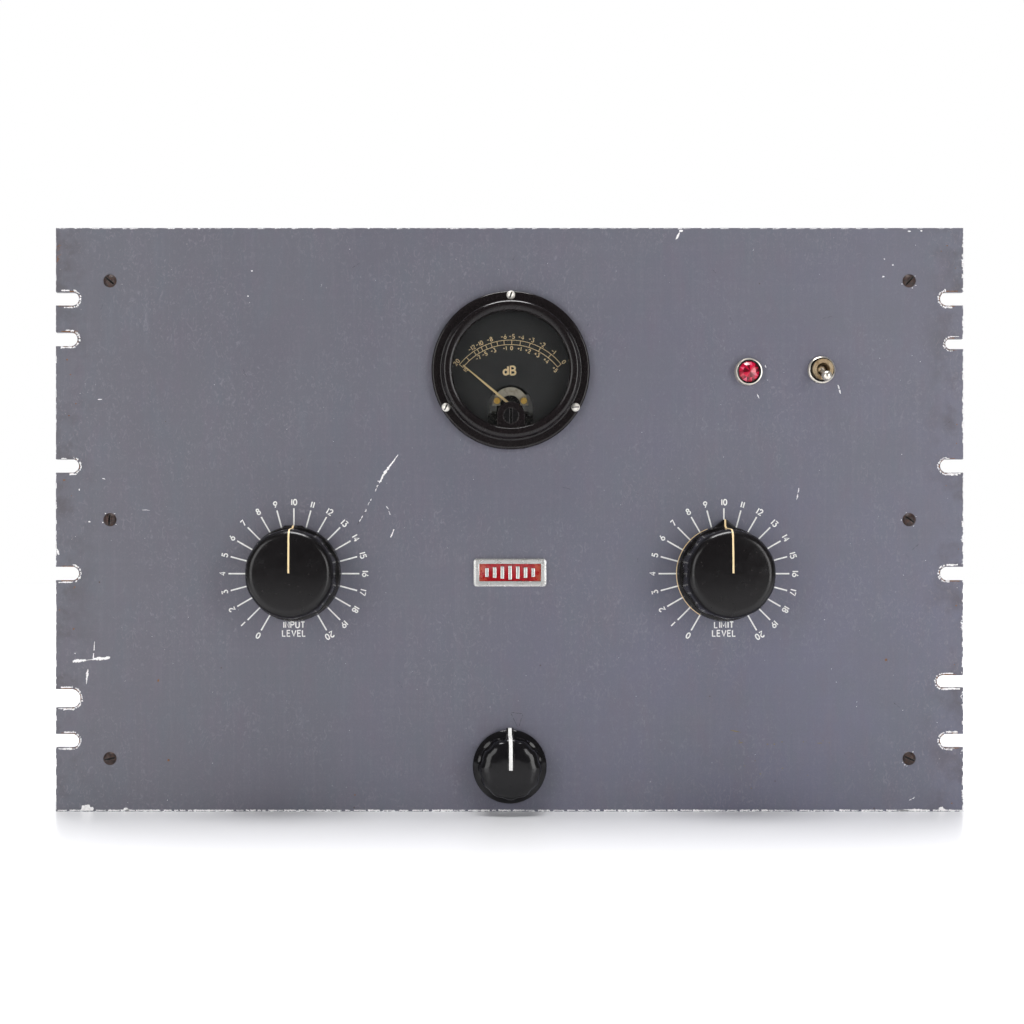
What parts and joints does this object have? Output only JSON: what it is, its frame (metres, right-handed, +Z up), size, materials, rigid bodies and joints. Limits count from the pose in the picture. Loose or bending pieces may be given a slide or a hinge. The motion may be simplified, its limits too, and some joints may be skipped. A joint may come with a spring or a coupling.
{
  "type": "rack compressor",
  "caption": "Tube compressor on a flat grey rack panel, with a round level meter, two large stepped dials, a selector, a toggle and a pilot lamp over a deep chassis.",
  "frame": {"origin": "centre of the front panel's back face, which is the rack mounting plane", "axes": "+X to the right seen from the front, +Z up, -Y out of the front panel, +Y into the rack"},
  "size_m": [0.4826, 0.1922, 0.3104],
  "materials": {
    "panel_paint": "satin air-dried grey enamel, scratched and chipped at the edges",
    "rusty_screw": "rusted steel with dark slots",
    "zinc": "zinc plated steel",
    "die_cast": "polished die casting, worn bright on its ridges",
    "red_enamel": "fired enamel, worn to orange at its ends",
    "brown_bakelite": "moulded phenolic with a soft sheen",
    "black_bakelite": "moulded phenolic",
    "clear_glass": "clear",
    "dial_black": "eggshell black dial plate",
    "needle_cream": "cream lacquer",
    "bridge_tan": "dull brass",
    "magnet_steel": "grey magnet steel",
    "brass": "dull brass",
    "tarnished_brass": "tarnished nickel over brass",
    "nickel": "nickel plate",
    "matte_phenolic": "matte moulded phenolic, polished on the ridges",
    "gloss_phenolic": "polished phenolic",
    "black_steel": "blackened steel",
    "shaft_steel": "ground steel",
    "paper_phenolic": "paper-base laminate",
    "can_aluminium": "drawn can with fine draw lines",
    "ruby_glass": "faceted ruby glass",
    "plated_steel": "cadmium plated sheet, dulled",
    "lamination_steel": "varnished silicon-steel laminations",
    "black_enamel": "black wrinkle and stoved enamel",
    "grey_enamel": "grey hammer enamel",
    "plate_nickel": "blackened nickel electrodes",
    "waxed_paper": "waxed paper and moulded bodies"
  },
  "bodies": {
    "unit": {"front_panel": "panel_paint", "panel_screws": "rusty_screw", "panel_nuts": "zinc", "badge_frame": "die_cast", "badge_enamel": "red_enamel", "meter_case": "brown_bakelite", "meter_glass": "clear_glass", "meter_dial": "dial_black", "meter_bridge": "bridge_tan", "meter_magnet": "magnet_steel", "meter_base": "brown_bakelite", "meter_terminals": "brass", "meter_screws": "nickel", "meter_nuts": "zinc", "gain_contact_plate": "paper_phenolic", "gain_can": "can_aluminium", "limiter_contact_plate": "paper_phenolic", "limiter_can": "can_aluminium", "selector_wafer": "paper_phenolic", "selector_frame": "zinc", "control_nuts": "nickel", "toggle_case": "black_bakelite", "toggle_bushing": "tarnished_brass", "toggle_ring_nut": "nickel", "pilot_bezel": "nickel", "pilot_jewel": "ruby_glass", "pilot_socket": "zinc", "pilot_lamp": "brass", "chassis_pan": "plated_steel", "power_core": "lamination_steel", "power_covers": "black_enamel", "transformer_cans": "grey_enamel", "filter_choke": "lamination_steel", "transformer_screws": "zinc", "filter_capacitors": "can_aluminium", "capacitor_wafers": "paper_phenolic", "tube_sockets": "black_bakelite", "metal_tubes": "black_enamel", "glass_tube_bases": "brown_bakelite", "glass_tube_envelopes": "clear_glass", "glass_tube_plates": "plate_nickel", "terminal_strips": "black_bakelite", "terminal_screws": "brass", "fuse_holder": "black_bakelite", "balance_control": "can_aluminium", "tag_board": "paper_phenolic", "board_parts": "waxed_paper"},
    "gain_dial": {"gain_knob": "matte_phenolic", "gain_setscrew": "black_steel", "gain_rotor": "shaft_steel"},
    "limiter_dial": {"limiter_knob": "matte_phenolic", "limiter_setscrew": "black_steel", "limiter_rotor": "shaft_steel"},
    "selector_dial": {"selector_knob": "gloss_phenolic", "selector_setscrew": "black_steel", "selector_rotor": "shaft_steel"},
    "power_toggle": {"toggle_lever": "nickel"},
    "level_needle": {"meter_needle": "needle_cream"},
    "zero_adjuster": {"meter_zero_adjuster": "black_bakelite"},
    "balance_trim": {"balance_shaft": "shaft_steel"}
  },
  "joints": [
    {"name": "gain_turn", "type": "hinge", "parent": "unit", "child": "gain_dial", "pos_m": [-0.1147, 0, -0.0287], "axis": [0, 1, 0], "range_deg": [-150, 150]},
    {"name": "limiter_turn", "type": "hinge", "parent": "unit", "child": "limiter_dial", "pos_m": [0.114, 0, -0.0287], "axis": [0, 1, 0], "range_deg": [-150, 150]},
    {"name": "selector_turn", "type": "hinge", "parent": "unit", "child": "selector_dial", "pos_m": [0, 0, -0.131], "axis": [0, 1, 0], "range_deg": [-90, 90]},
    {"name": "toggle_throw", "type": "hinge", "parent": "unit", "child": "power_toggle", "pos_m": [0.1657, -0.0032, 0.0795], "axis": [-1, 0, 0], "range_deg": [0, 42]},
    {"name": "needle_swing", "type": "hinge", "parent": "unit", "child": "level_needle", "pos_m": [0.0005, 0, 0.061], "axis": [0, 1, 0], "range_deg": [0, 102]},
    {"name": "zero_turn", "type": "hinge", "parent": "unit", "child": "zero_adjuster", "pos_m": [0.0005, 0, 0.0547], "axis": [0, 1, 0], "continuous": true},
    {"name": "balance_turn", "type": "hinge", "parent": "unit", "child": "balance_trim", "pos_m": [0.022, 0.0635, -0.044], "axis": [0, 1, 0], "range_deg": [-145, 145]}
  ]
}
